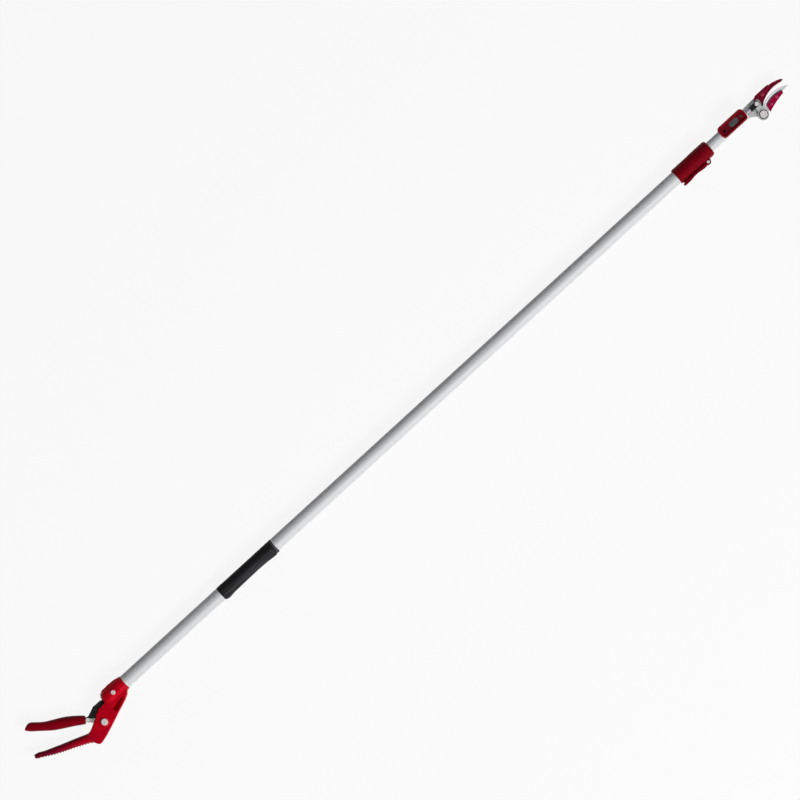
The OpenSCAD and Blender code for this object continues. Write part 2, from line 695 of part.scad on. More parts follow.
// The moving blade, drawn where its edge meets the hook's edge
module cutting_blade() {
  lean = blade_swing / 2;
  arm = blade_drop / cos(lean);
  color([0.8, 0.81, 0.83]) opened() difference() {
    translate([0, 0, -blade_t / 2]) linear_extrude(blade_t) {
      difference() {
        intersection() {
          translate(edge_c) circle(r = edge_r, $fn = 128);
          translate([hp.x, -40]) square([80, 60]);
        }
        translate(back_c) circle(r = back_r, $fn = 256);
      }
      translate(hp) circle(r = 10);
      translate(hp) rotate([0, 0, 90 + lean - bypass]) bar([0, 0], [arm, 0], 10.4);
      translate(hp) rotate([0, 0, 90 + lean - bypass]) translate([arm, 0]) circle(r = 5.2);
    }
    intersection() {
      translate([edge_c.x, edge_c.y, blade_t / 2]) rotate_extrude($fn = 128) polygon([[edge_r - bevel_w, 0],
        [edge_r + 1, (-blade_t + 0.5) * (bevel_w + 1) / bevel_w], [edge_r + 1, 2], [edge_r - bevel_w, 2]]);
      translate([34, -30, -10]) cube([80, 60, 20]);
    }
    translate([hp.x, hp.y, -40]) cylinder(r = bolt_r + run, h = 80);
    translate([hp.x, hp.y, -20]) rotate([0, 0, 90 + lean - bypass]) linear_extrude(40) {
      translate([blade_drop - 0.4, 0]) circle(r = pin_r + 0.15);
      translate([arm + 0.3, 0]) circle(r = pin_r + 0.15);
      bar([blade_drop - 0.4, 0], [arm + 0.3, 0], 2 * pin_r + 0.3);
    }
    for (p = holder_points) translate([p.x, p.y, -20]) cylinder(r = 1.6 + fit, h = 40);
  }
}

// Rivets of the stem holder, on the blade as it is drawn
holder_points = [[46, -13.2], [60, -6.6]];
holder_r = edge_r - 7;
holder_z = blade_t / 2 + fit;

module stem_holder() {
  color([0.6, 0.03, 0.1]) opened() difference() {
    translate([0, 0, holder_z]) linear_extrude(2.4) difference() {
      intersection() {
        translate(edge_c) circle(r = holder_r, $fn = 128);
        translate([37, -40]) square([37, 60]);
      }
      translate(back_c) circle(r = back_r - 3.4, $fn = 256);
    }
    for (p = holder_points) translate([p.x, p.y, -20]) cylinder(r = 1.6 + fit, h = 40);
  }
}

module holder_pad() {
  color([0.05, 0.05, 0.05]) opened() translate([0, 0, holder_z]) linear_extrude(3) difference() {
    intersection() {
      translate(edge_c) circle(r = holder_r + 2.2, $fn = 128);
      translate([38, -40]) square([36, 60]);
    }
    translate(edge_c) circle(r = holder_r + 0.05, $fn = 128);
    for (i = [0 : 11]) rotate_about(edge_c, 117 - 3 * i) translate([holder_r + 2.4, 0])
      circle(r = 0.8, $fn = 24);
  }
}

module rotate_about(c, a) {
  translate(c) rotate([0, 0, a]) children();
}

module holder_rivets() {
  color([0.75, 0.75, 0.74]) opened() for (p = holder_points) translate([p.x, p.y, 0]) {
    translate([0, 0, -blade_t / 2]) cylinder(r = 1.6, h = blade_t + 2.8);
    translate([0, 0, holder_z + 2.4]) rotate_extrude() polygon([[0, 0], [3, 0], [2.4, 0.9], [0, 1.3]]);
  }
}

module lock_lever() {
  x = cam_x;
  y = cam_y;
  back = -shell_r - 0.3;
  color([0.5, 0.03, 0.07]) place() difference() {
    union() {
      translate([x, y + cam_off, -ear_z0 + 0.4]) cylinder(r = cam_r, h = 2 * ear_z0 - 0.8);
      translate([0, 0, -ear_z0 + 0.4]) linear_extrude(2 * ear_z0 - 0.8)
        polygon([[x, y - 3], [x, y + 2], [x - 7, back], [x - 9, back], [x - 9, y - 3.6]]);
      translate([0, 0, -lever_w / 2]) linear_extrude(lever_w) polygon([[x - 6.6, back], [x - 50, back],
        [x - 58, back - 2], [x - 58.6, back - 4.4], [x - 57, back - 6.2], [x - 44, back - 6],
        [x - 36, back - 4.6], [x - 30, back - 4], [x - 24, back - 4.6], [x - 15, back - 6],
        [x - 6.6, back - 6.2]]);
    }
    translate([x, y, -30]) cylinder(r = 1.5 + run, h = 60);
  }
}

outer_tube();
hand_grip();
handle_casting();
socket_screws();
pivot_bolt();
pivot_nut();
tube_plug();
collar_body();
lock_pin();
clamp_pad();
collar_bush();
collar_screw();
trigger_lever();
trigger_grip();
trigger_bush();
trigger_rivet();
rod_clevis();
clevis_pin();
pull_tube();
spring_collar();
rod_clutch();
return_spring();
inner_tube();
slide_bush();
saw_seat();
seat_screw();
head_frame();
head_screws();
hook();
head_rivet();
head_bolt();
head_washer();
head_nut();
pull_rod();
rod_fork();
fork_pin();
cutting_blade();
stem_holder();
holder_pad();
holder_rivets();
lock_lever();
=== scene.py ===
import json
import math

import bpy
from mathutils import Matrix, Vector


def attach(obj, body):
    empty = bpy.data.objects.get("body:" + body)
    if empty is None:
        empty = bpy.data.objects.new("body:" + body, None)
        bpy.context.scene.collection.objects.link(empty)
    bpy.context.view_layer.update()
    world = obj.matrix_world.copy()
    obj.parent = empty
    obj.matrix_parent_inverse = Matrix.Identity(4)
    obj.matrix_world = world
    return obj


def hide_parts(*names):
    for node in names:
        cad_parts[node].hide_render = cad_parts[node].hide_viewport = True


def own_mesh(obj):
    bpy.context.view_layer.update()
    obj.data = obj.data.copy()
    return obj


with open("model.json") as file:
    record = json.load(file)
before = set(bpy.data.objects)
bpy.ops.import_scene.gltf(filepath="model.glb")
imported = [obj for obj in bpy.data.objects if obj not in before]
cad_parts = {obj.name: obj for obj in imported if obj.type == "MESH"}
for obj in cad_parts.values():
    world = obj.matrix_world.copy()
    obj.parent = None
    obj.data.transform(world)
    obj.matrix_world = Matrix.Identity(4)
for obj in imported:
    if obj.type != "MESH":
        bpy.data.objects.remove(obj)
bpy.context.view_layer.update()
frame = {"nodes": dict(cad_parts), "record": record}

print("frame loaded:", len(frame["nodes"]), "nodes")

# where the pole's own measures, from the handle's mouth and the tube's middle, lie in the frame
poleStart = Vector((-0.691, -0.0048, 0.016))
millimetres = 1000  # in a metre; points and forms are in millimetres unless a note says metres


def polePoint(x, y, z=0.0):
    return poleStart + Vector((x, y, z)) / millimetres


def deselectAll():
    if bpy.context.object and bpy.context.object.mode != "OBJECT":
        bpy.ops.object.mode_set(mode="OBJECT")
    bpy.ops.object.select_all(action="DESELECT")


def makeActive(piece):
    deselectAll()
    piece.select_set(True)
    bpy.context.view_layer.objects.active = piece


def settle(piece, name, material, body, replaced):
    makeActive(piece)
    bpy.ops.object.transform_apply(location=True, rotation=True, scale=True)
    piece.name = name
    piece.data.name = name
    piece.data.materials.clear()
    piece.data.materials.append(material)
    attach(piece, body)
    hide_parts(*replaced)


# small helpers for the finishes
def startFinish(name, color, roughness, metallic=0.0):
    finish = bpy.data.materials.new(name)
    finish.use_nodes = True
    shader = finish.node_tree.nodes["Principled BSDF"]
    shader.inputs["Base Color"].default_value = (*color, 1)
    shader.inputs["Roughness"].default_value = roughness
    shader.inputs["Metallic"].default_value = metallic
    finish.diffuse_color = (*color, 1)
    return finish, shader


def placeOn(finish, stretch=(1, 1, 1), turn=(0, 0, 0), shift=(0, 0, 0)):
    nodes, links = finish.node_tree.nodes, finish.node_tree.links
    coords = nodes.new("ShaderNodeTexCoord")
    mapping = nodes.new("ShaderNodeMapping")
    mapping.inputs["Scale"].default_value = stretch
    mapping.inputs["Rotation"].default_value = turn
    mapping.inputs["Location"].default_value = shift
    links.new(coords.outputs["Object"], mapping.inputs["Vector"])
    return mapping.outputs["Vector"]


noiseRoughness = 0.55
noiseMiddle = (0.3, 0.7)  # most of a cloud's values lie between these


def cloud(finish, place, scale, detail):
    noise = finish.node_tree.nodes.new("ShaderNodeTexNoise")
    noise.inputs["Scale"].default_value = scale
    noise.inputs["Detail"].default_value = detail
    noise.inputs["Roughness"].default_value = noiseRoughness
    finish.node_tree.links.new(place, noise.inputs["Vector"])
    return noise.outputs["Fac"]


def ramp(finish, factor, stops):
    node = finish.node_tree.nodes.new("ShaderNodeValToRGB")
    for element, (position, color) in zip(node.color_ramp.elements, stops):
        element.position = position
        element.color = (*color, 1)
    finish.node_tree.links.new(factor, node.inputs["Fac"])
    return node.outputs["Color"]


def spread(finish, factor, low, high):
    node = finish.node_tree.nodes.new("ShaderNodeMapRange")
    node.inputs["From Min"].default_value = noiseMiddle[0]
    node.inputs["From Max"].default_value = noiseMiddle[1]
    node.inputs["To Min"].default_value = low
    node.inputs["To Max"].default_value = high
    finish.node_tree.links.new(factor, node.inputs["Value"])
    return node.outputs["Result"]


# places of the color sockets on a Mix node, which also has sockets for numbers and vectors
mixFactor, mixFirst, mixSecond, mixResult = 0, 6, 7, 2


def blendColors(finish, factor, first, second):
    node = finish.node_tree.nodes.new("ShaderNodeMix")
    node.data_type = "RGBA"
    for value, place in ((factor, mixFactor), (first, mixFirst), (second, mixSecond)):
        if isinstance(value, bpy.types.NodeSocket):
            finish.node_tree.links.new(value, node.inputs[place])
        else:
            node.inputs[place].default_value = value if place == mixFactor else (*value, 1)
    return node.outputs[mixResult]


# fine relief, with its depth in metres
def relief(finish, shader, height, strength, depth):
    node = finish.node_tree.nodes.new("ShaderNodeBump")
    node.inputs["Strength"].default_value = strength
    node.inputs["Distance"].default_value = depth
    finish.node_tree.links.new(height, node.inputs["Height"])
    finish.node_tree.links.new(node.outputs["Normal"], shader.inputs["Normal"])


def feed(finish, output, shader, inputName):
    finish.node_tree.links.new(output, shader.inputs[inputName])


def sideOf(finish, place, low, high, axis="Y"):
    axes = finish.node_tree.nodes.new("ShaderNodeSeparateXYZ")
    finish.node_tree.links.new(place, axes.inputs["Vector"])
    node = finish.node_tree.nodes.new("ShaderNodeMapRange")
    node.inputs["From Min"].default_value = low
    node.inputs["From Max"].default_value = high
    finish.node_tree.links.new(axes.outputs[axis], node.inputs["Value"])
    return node.outputs["Result"]


# coordinates that start at a point of the pole and run at an angle to it
def turnedPlace(finish, point, turn):
    start = polePoint(*point)
    back = -math.radians(turn)
    shift = (start.y * math.sin(back) - start.x * math.cos(back),
             -start.x * math.sin(back) - start.y * math.cos(back), -start.z)
    return placeOn(finish, turn=(0, 0, back), shift=shift)


# share of a dark mark: whole at its dark end, gone at its plain end, only past its reach; most marks are
# painted shade
def markShare(finish, mark):
    place = turnedPlace(finish, mark["at"], mark["turn"])
    plainEnd, darkEnd = mark["plainEnd"] / millimetres, mark["darkEnd"] / millimetres
    share = sideOf(finish, place, plainEnd, darkEnd, mark["axis"])
    if "reach" in mark:
        node = finish.node_tree.nodes.new("ShaderNodeMath")
        node.operation = "MULTIPLY"
        low, high = (along / millimetres for along in mark["reach"])
        finish.node_tree.links.new(share, node.inputs[0])
        finish.node_tree.links.new(sideOf(finish, place, low, high, "X"), node.inputs[1])
        share = node.outputs["Value"]
    return share


# anodised tubes: drawn lines along the pole, and a few dull patches from handling
tubeLook = {
    "light": (0.82, 0.83, 0.84), "dull": (0.76, 0.77, 0.78), "metallic": 0.04,
    "roughness": (0.46, 0.58), "shine": 0.3,
    "lineStretch": (3, 900, 900), "lineDetail": 2.0, "lineStrength": 0.06, "lineDepth": 0.0001,
    "patchStretch": (9, 60, 60), "patchDetail": 4.0,
    "drawn": [(0.35, (0.45, 0.46, 0.48)), (0.65, (0.85, 0.86, 0.87))], "drawnShare": 0.16,
}


def makeTubeFinish():
    look = tubeLook
    finish, shader = startFinish("satinTube", look["light"], sum(look["roughness"]) / 2, look["metallic"])
    shader.inputs["Specular IOR Level"].default_value = look["shine"]
    lines = cloud(finish, placeOn(finish, look["lineStretch"]), 1.0, look["lineDetail"])
    patches = cloud(finish, placeOn(finish, look["patchStretch"]), 1.0, look["patchDetail"])
    tone = blendColors(finish, patches, look["dull"], look["light"])
    streaked = blendColors(finish, look["drawnShare"], tone, ramp(finish, lines, look["drawn"]))
    feed(finish, streaked, shader, "Base Color")
    feed(finish, spread(finish, patches, *look["roughness"]), shader, "Roughness")
    relief(finish, shader, lines, look["lineStrength"], look["lineDepth"])
    return finish


redGloss = (1.0, 0.05, 0.10)  # the pigment tints the gloss of every red finish
redGrain = {"mottle": 55, "mottleDetail": 4.0, "fineDetail": 2.0, "stops": (0.3, 0.7), "strength": 0.06}
seatFloor = 13.2  # height of the saw seat's sunk face over the pole's middle


# enamel, coatings and plastics in the reds of the tool, some with dark marks: painted shade on an upper
# side or in a hollow, and a darkening towards the fixed grip's tip
def makeRed(name, light, dark, roughness, grain, grainDepth, shine, paintedShadeAndDarkening=()):
    finish, shader = startFinish(name, light, sum(roughness) / 2)
    place = placeOn(finish)
    mottle = cloud(finish, place, redGrain["mottle"], redGrain["mottleDetail"])
    fine = cloud(finish, place, grain, redGrain["fineDetail"])
    tone = ramp(finish, mottle, list(zip(redGrain["stops"], (dark, light))))
    # dark marks over the tone, most of them painted shade
    for mark in paintedShadeAndDarkening:
        tone = blendColors(finish, markShare(finish, mark), tone, mark["color"])
    feed(finish, tone, shader, "Base Color")
    feed(finish, spread(finish, mottle, *roughness), shader, "Roughness")
    shader.inputs["Specular IOR Level"].default_value = shine
    shader.inputs["Specular Tint"].default_value = (*redGloss, 1)
    relief(finish, shader, fine, redGrain["strength"], grainDepth)
    return finish


redLooks = {
    "gripEnamel": {
        "light": (0.69, 0.001, 0.016), "dark": (0.58, 0.001, 0.012),
        "roughness": (0.28, 0.40), "grain": 260, "grainDepth": 0.0003, "shine": 0.35,
        # darker towards the fixed grip's tip, then painted shade along the fixed grip's upper side
        "paintedShadeAndDarkening": [{"at": (0, 0), "turn": 0, "axis": "X", "darkEnd": -180, "plainEnd": -90,
                   "color": (0.20, 0.003, 0.022)},
                  {"at": (-111.7, -24), "turn": 158.7, "axis": "Y", "darkEnd": 0.5, "plainEnd": 6.5,
                   "reach": (-4, 14), "color": (0.09, 0.001, 0.007)}]},
    "dippedVinyl": {
        "light": (0.30, 0.001, 0.010), "dark": (0.24, 0.001, 0.008),
        "roughness": (0.30, 0.44), "grain": 500, "grainDepth": 0.0002, "shine": 0.3,
        # painted shade along the trigger grip's upper side
        "paintedShadeAndDarkening": [{"at": (-126, 18.2), "turn": 144, "axis": "Y", "darkEnd": -9, "plainEnd": -1,
                   "color": (0.09, 0.001, 0.005)}]},
    "collarPlastic": {
        "light": (0.23, 0.0025, 0.011), "dark": (0.19, 0.002, 0.008),
        "roughness": (0.48, 0.62), "grain": 900, "grainDepth": 0.0002, "shine": 0.2},
    "seatPlastic": {
        "light": (0.36, 0.003, 0.015), "dark": (0.30, 0.002, 0.011),
        "roughness": (0.34, 0.48), "grain": 800, "grainDepth": 0.0002, "shine": 0.3,
        # painted shade: the saw seat's sunk face darker than its rim
        "paintedShadeAndDarkening": [{"at": (0, 0), "turn": 0, "axis": "Z", "darkEnd": seatFloor + 0.4,
                   "plainEnd": seatFloor + 1.4, "color": (0.13, 0.006, 0.012)}]},
    "wineCoating": {
        "light": (0.21, 0.005, 0.030), "dark": (0.16, 0.004, 0.022),
        "roughness": (0.34, 0.48), "grain": 600, "grainDepth": 0.0002, "shine": 0.3},
    "crimsonCoating": {
        "light": (0.46, 0.004, 0.070), "dark": (0.38, 0.003, 0.056),
        "roughness": (0.34, 0.48), "grain": 600, "grainDepth": 0.0002, "shine": 0.3},
    # rivet heads coated like their parts, lighter and pinker than the coatings as a painted highlight
    "hookRivetHighlight": {
        "light": (0.34, 0.055, 0.095), "dark": (0.26, 0.030, 0.060),
        "roughness": (0.26, 0.38), "grain": 600, "grainDepth": 0.0002, "shine": 0.5},
    "holderRivetHighlight": {
        "light": (0.62, 0.090, 0.190), "dark": (0.52, 0.050, 0.130),
        "roughness": (0.26, 0.38), "grain": 600, "grainDepth": 0.0002, "shine": 0.5},
}


# black rubber with faint streaks along the sleeve, painted shade over its upper side, and a painted grey
# highlight on its last ring
rubberLook = {
    "dark": (0.010, 0.010, 0.011), "rubbed": (0.064, 0.065, 0.069), "stops": (0.40, 0.72),
    # the grey of the last ring is a painted highlight
    "ringHighlight": (0.085, 0.086, 0.090), "ringHighlightFrom": (357.6, 358.2), "roughness": (0.50, 0.66), "shine": 0.08,
    # painted shade: the sleeve's upper side darker
    "shadedSide": {"at": (297, 0), "turn": 0, "axis": "Y", "darkEnd": 7, "plainEnd": -7,
                  "color": (0.004, 0.004, 0.0045)},
    "streakStretch": (14, 420, 420), "streakDetail": 3.0,
    "pores": 1600, "poreDetail": 2.0, "poreStrength": 0.15, "poreDepth": 0.0002,
}


def makeRubber():
    look = rubberLook
    finish, shader = startFinish("gripRubber", look["dark"], sum(look["roughness"]) / 2)
    shader.inputs["Specular IOR Level"].default_value = look["shine"]
    streaks = cloud(finish, placeOn(finish, look["streakStretch"]), 1.0, look["streakDetail"])
    pores = cloud(finish, placeOn(finish), look["pores"], look["poreDetail"])
    tone = ramp(finish, streaks, list(zip(look["stops"], (look["dark"], look["rubbed"]))))
    # painted shade over the upper side, then a painted highlight over the last ring
    shadedSide = look["shadedSide"]
    tone = blendColors(finish, markShare(finish, shadedSide), tone, shadedSide["color"])
    start, end = (polePoint(along, 0).x for along in look["ringHighlightFrom"])
    ring = sideOf(finish, placeOn(finish), start, end, "X")
    feed(finish, blendColors(finish, ring, tone, look["ringHighlight"]), shader, "Base Color")
    feed(finish, spread(finish, streaks, *look["roughness"]), shader, "Roughness")
    relief(finish, shader, pores, look["poreStrength"], look["poreDepth"])
    return finish


# plated, ground, drawn and cast metals, and black nylon
metalGrain = {"detail": 3.0, "stops": (0.32, 0.68), "strength": 0.06}


def makeMetal(name, light, dark, roughness, stretch, lineDepth, metallic, shine=0.5, turn=(0, 0, 0)):
    finish, shader = startFinish(name, light, sum(roughness) / 2, metallic)
    shader.inputs["Specular IOR Level"].default_value = shine
    lines = cloud(finish, placeOn(finish, stretch, turn), 1.0, metalGrain["detail"])
    tone = ramp(finish, lines, list(zip(metalGrain["stops"], (dark, light))))
    feed(finish, tone, shader, "Base Color")
    feed(finish, spread(finish, lines, *roughness), shader, "Roughness")
    relief(finish, shader, lines, metalGrain["strength"], lineDepth)
    return finish


metalLooks = {
    "groundBlade": {"light": (0.64, 0.64, 0.65), "dark": (0.54, 0.54, 0.55), "roughness": (0.28, 0.40),
                    "stretch": (60, 1500, 200), "lineDepth": 0.0002, "metallic": 0.5, "turn": (0, 0, 0.4)},
    "zincPlate": {"light": (0.74, 0.70, 0.69), "dark": (0.62, 0.58, 0.57), "roughness": (0.32, 0.45),
                  "stretch": (500, 500, 500), "lineDepth": 0.0002, "metallic": 0.5},
    # the seat screw dark as painted shade in the seat's oval pocket
    "shadowDarkPlate": {"light": (0.10, 0.10, 0.10), "dark": (0.05, 0.05, 0.05), "roughness": (0.30, 0.45),
                  "stretch": (500, 500, 500), "lineDepth": 0.0002, "metallic": 0.5, "shine": 0.2},
    # the washer dark as a painted shadow ring around the pivot bolt
    "shadowDarkZinc": {"light": (0.10, 0.09, 0.09), "dark": (0.04, 0.04, 0.04), "roughness": (0.30, 0.45),
                  "stretch": (500, 500, 500), "lineDepth": 0.0002, "metallic": 0.5, "shine": 0.2},
    "drawnRod": {"light": (0.36, 0.36, 0.37), "dark": (0.28, 0.28, 0.29), "roughness": (0.34, 0.46),
                 "stretch": (8, 1200, 1200), "lineDepth": 0.0001, "metallic": 0.7},
    "springWire": {"light": (0.28, 0.28, 0.30), "dark": (0.18, 0.18, 0.19), "roughness": (0.30, 0.42),
                   "stretch": (500, 500, 500), "lineDepth": 0.0001, "metallic": 0.7},
    "castAlloy": {"light": (0.58, 0.58, 0.59), "dark": (0.48, 0.48, 0.49), "roughness": (0.45, 0.60),
                  "stretch": (600, 600, 600), "lineDepth": 0.0003, "metallic": 0.4},
    "turnedBrass": {"light": (0.66, 0.49, 0.21), "dark": (0.53, 0.38, 0.15), "roughness": (0.26, 0.38),
                    "stretch": (1200, 60, 60), "lineDepth": 0.0001, "metallic": 0.8},
    "blackOxide": {"light": (0.020, 0.020, 0.021), "dark": (0.008, 0.008, 0.009),
                   "roughness": (0.38, 0.55), "stretch": (420, 420, 420), "lineDepth": 0.0002,
                   "metallic": 0.2, "shine": 0.1},
    "mouldedNylon": {"light": (0.030, 0.030, 0.031), "dark": (0.018, 0.018, 0.019),
                     "roughness": (0.45, 0.60), "stretch": (900, 900, 900), "lineDepth": 0.0002,
                     "metallic": 0.0, "shine": 0.15},
}


# lever of bright ground steel between its grip and the casting, with black painted shade over its upper
# part
leverLook = {
    "bright": (0.52, 0.52, 0.53), "ground": (0.40, 0.40, 0.41), "shadeBlack": (0.012, 0.012, 0.013),
    "edgePoint": (-87.0, -8.4), "turn": -38.3, "fade": 0.8,
    "roughness": (0.34, 0.50), "metallic": 0.5, "shine": 0.15,
    "lineStretch": (900, 120, 300), "lineDepth": 0.0002,
}


def makeLeverFinish():
    look = leverLook
    finish, shader = startFinish("groundLever", look["shadeBlack"], sum(look["roughness"]) / 2, look["metallic"])
    shader.inputs["Specular IOR Level"].default_value = look["shine"]
    fade = look["fade"] / millimetres
    # painted shade: black over the lever's upper part, ground steel below it
    shadedUpper = sideOf(finish, turnedPlace(finish, look["edgePoint"], look["turn"]), -fade, fade)
    along = placeOn(finish, look["lineStretch"], (0, 0, -math.radians(look["turn"])))
    lines = cloud(finish, along, 1.0, metalGrain["detail"])
    ground = ramp(finish, lines, list(zip(metalGrain["stops"], (look["ground"], look["bright"]))))
    feed(finish, blendColors(finish, shadedUpper, ground, look["shadeBlack"]), shader, "Base Color")
    feed(finish, spread(finish, lines, *look["roughness"]), shader, "Roughness")
    relief(finish, shader, lines, metalGrain["strength"], look["lineDepth"])
    return finish


# the blade's ground bevel is bare metal, its flat face is duller
bevelLook = {"bareTilt": 0.94, "flatTilt": 0.98, "bareMetal": 0.95, "flatMetal": 0.4}


def bareBevel(finish):
    tree = finish.node_tree
    coords = tree.nodes.new("ShaderNodeTexCoord")
    axes = tree.nodes.new("ShaderNodeSeparateXYZ")
    share = tree.nodes.new("ShaderNodeMapRange")
    share.inputs["From Min"].default_value = bevelLook["bareTilt"]
    share.inputs["From Max"].default_value = bevelLook["flatTilt"]
    share.inputs["To Min"].default_value = bevelLook["bareMetal"]
    share.inputs["To Max"].default_value = bevelLook["flatMetal"]
    tree.links.new(coords.outputs["Normal"], axes.inputs["Vector"])
    tree.links.new(axes.outputs["Z"], share.inputs["Value"])
    tree.links.new(share.outputs["Result"], tree.nodes["Principled BSDF"].inputs["Metallic"])


finishes = {"satinTube": makeTubeFinish(), "gripRubber": makeRubber(), "groundLever": makeLeverFinish()}
for finishName, look in redLooks.items():
    finishes[finishName] = makeRed(finishName, **look)
for finishName, look in metalLooks.items():
    finishes[finishName] = makeMetal(finishName, **look)
bareBevel(finishes["groundBlade"])

slotFinish = {
    "tube_silver": "satinTube", "red_casting": "gripEnamel", "red_vinyl": "dippedVinyl",
    "collar_red": "collarPlastic", "seat_red": "seatPlastic", "head_red": "wineCoating",
    "holder_red": "crimsonCoating",
    "black_rubber": "gripRubber", "black_steel": "blackOxide", "blade_steel": "groundBlade",
    "zinc_steel": "zincPlate", "dark_screw": "shadowDarkPlate", "rod_steel": "drawnRod",
    "spring_steel": "springWire", "head_alloy": "castAlloy", "brass": "turnedBrass",
    "black_nylon": "mouldedNylon",
}
# coated rivet heads lighter and pinker than their coatings as a painted highlight, the washer dark as a
# painted shadow ring, and the lever black with painted shade over its upper part differ from the rest of
# their slots
nodeFinish = {"trigger_lever": "groundLever", "head_washer": "shadowDarkZinc", "head_rivet": "hookRivetHighlight",
              "holder_rivets": "holderRivetHighlight"}
nodeSlot = {row["node"]: row["material_slot"] for row in frame["record"]["subparts"]}
for nodeName, node in frame["nodes"].items():
    for place in node.material_slots:
        place.material = finishes[nodeFinish.get(nodeName, slotFinish[nodeSlot[nodeName]])]
print("finishes made:", len(finishes))


# castings and mouldings with soft edges, made from the solids they stand for;
# voxel and swell are in metres
softLooks = {
    "softHandle": {
        "node": "handle_casting", "body": "pole", "voxel": 0.0006, "rounds": 5, "swell": 0.0002,
        "trims": [{"middle": (-8, 25.2, 0), "size": (44, 20, 40), "turn": -9.8}],
        "lips": [{"middle": (-58.5, -7, 9.2), "size": (18, 5.6, 2.6), "turn": 2},
                 {"middle": (-58.5, -7, -9.2), "size": (18, 5.6, 2.6), "turn": 2},
                 {"middle": (-70, -9.6, 9.2), "size": (14, 5, 2.6), "turn": 22},
                 {"middle": (-70, -9.6, -9.2), "size": (14, 5, 2.6), "turn": 22}]},
    "softCollar": {
        "node": "collar_body", "body": "pole", "voxel": 0.0006, "rounds": 6, "swell": 0.00015},
    "softLever": {
        "node": "lock_lever", "body": "lock_lever", "voxel": 0.0005, "rounds": 6, "swell": 0.0002},
    "softSeat": {
        "node": "saw_seat", "body": "upper_pole", "voxel": 0.00045, "rounds": 5, "swell": 0.0001},
    "softHook": {
        "node": "hook", "body": "upper_pole", "voxel": 0.00035, "rounds": 4, "swell": 0.00008},
    "softFrame": {
        "node": "head_frame", "body": "upper_pole", "voxel": 0.0004, "rounds": 5, "swell": 0.0001},
}
mergeDistance = 0.00001  # metres
smoothShare = 0.5


def addBlock(block):
    deselectAll()
    bpy.ops.mesh.primitive_cube_add(size=1 / millimetres, location=polePoint(*block["middle"]),
                                    rotation=(0, 0, math.radians(block["turn"])))
    piece = bpy.context.object
    piece.scale = block["size"]
    bpy.ops.object.transform_apply(location=True, rotation=True, scale=True)
    return piece


# flats that taper a casting
def cutAway(piece, trims):
    for trim in trims:
        cutter = addBlock(trim)
        makeActive(piece)
        cut = piece.modifiers.new("flat", "BOOLEAN")
        cut.operation = "DIFFERENCE"
        cut.solver = "EXACT"
        cut.object = cutter
        bpy.ops.object.modifier_apply(modifier="flat")
        makeActive(cutter)
        bpy.ops.object.delete()


# low rims that stand on a casting and melt into it when it is made even
def addLips(piece, lips):
    for lip in lips:
        addBlock(lip)
        piece.select_set(True)
        bpy.context.view_layer.objects.active = piece
        bpy.ops.object.join()


def copySolid(name, nodeName):
    piece = bpy.data.objects.new(name, frame["nodes"][nodeName].data.copy())
    bpy.context.scene.collection.objects.link(piece)
    makeActive(piece)
    bpy.ops.object.mode_set(mode="EDIT")
    bpy.ops.mesh.select_all(action="SELECT")
    bpy.ops.mesh.remove_doubles(threshold=mergeDistance)
    bpy.ops.object.mode_set(mode="OBJECT")
    return piece


def softenSolid(name, look):
    piece = copySolid(name, look["node"])
    cutAway(piece, look.get("trims", []))
    addLips(piece, look.get("lips", []))
    makeActive(piece)
    remesh = piece.modifiers.new("even", "REMESH")
    remesh.mode = "VOXEL"
    remesh.voxel_size = look["voxel"]
    bpy.ops.object.modifier_apply(modifier="even")
    smooth = piece.modifiers.new("round", "SMOOTH")
    smooth.factor = smoothShare
    smooth.iterations = look["rounds"]
    bpy.ops.object.modifier_apply(modifier="round")
    swell = piece.modifiers.new("fill", "DISPLACE")
    swell.mid_level = 0.0
    swell.strength = look["swell"]
    bpy.ops.object.modifier_apply(modifier="fill")
    bpy.ops.object.shade_smooth()
    slotName = nodeSlot[look["node"]]
    settle(piece, name, finishes[slotFinish[slotName]], look["body"], [look["node"]])
    print(name, len(piece.data.polygons), "faces")


for softName, look in softLooks.items():
    softenSolid(softName, look)


def makeCoilSpring():
    piece = copySolid("coilSpring", "return_spring")
    bpy.ops.object.shade_smooth()
    settle(piece, "coilSpring", finishes["springWire"], "pole", ["return_spring"])
    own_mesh(piece)
    print("coilSpring", len(piece.data.polygons), "faces")


makeCoilSpring()


# a row of rings, each given as (along, aside, half width, half depth) and a slant in degrees
def loftRings(rings, sides):
    steps = [(*(value / millimetres for value in ring[:4]), math.radians(ring[4])) for ring in rings]
    along, aside, width, depth = steps[0][:4]
    deselectAll()
    bpy.ops.mesh.primitive_circle_add(vertices=sides, radius=1.0, rotation=(0, math.pi / 2, 0))
    piece = bpy.context.object
    bpy.ops.object.transform_apply(location=True, rotation=True, scale=True)
    bpy.ops.object.mode_set(mode="EDIT")
    bpy.ops.mesh.select_all(action="SELECT")
    bpy.ops.transform.resize(value=(1, width, depth), center_override=(0, 0, 0))
    bpy.ops.transform.translate(value=(along, aside, 0))
    for before, after in zip(steps, steps[1:]):
        move = (after[0] - before[0], after[1] - before[1], 0)
        bpy.ops.mesh.extrude_region_move(TRANSFORM_OT_translate={"value": move})
        middle = (after[0], after[1], 0)
        growth = (after[2] / before[2], after[2] / before[2], after[3] / before[3])
        bpy.ops.transform.resize(value=growth, center_override=middle)
        if after[4] != before[4]:
            slant = after[4] - before[4]
            bpy.ops.transform.rotate(value=slant, orient_axis="Z", center_override=middle)
    return piece


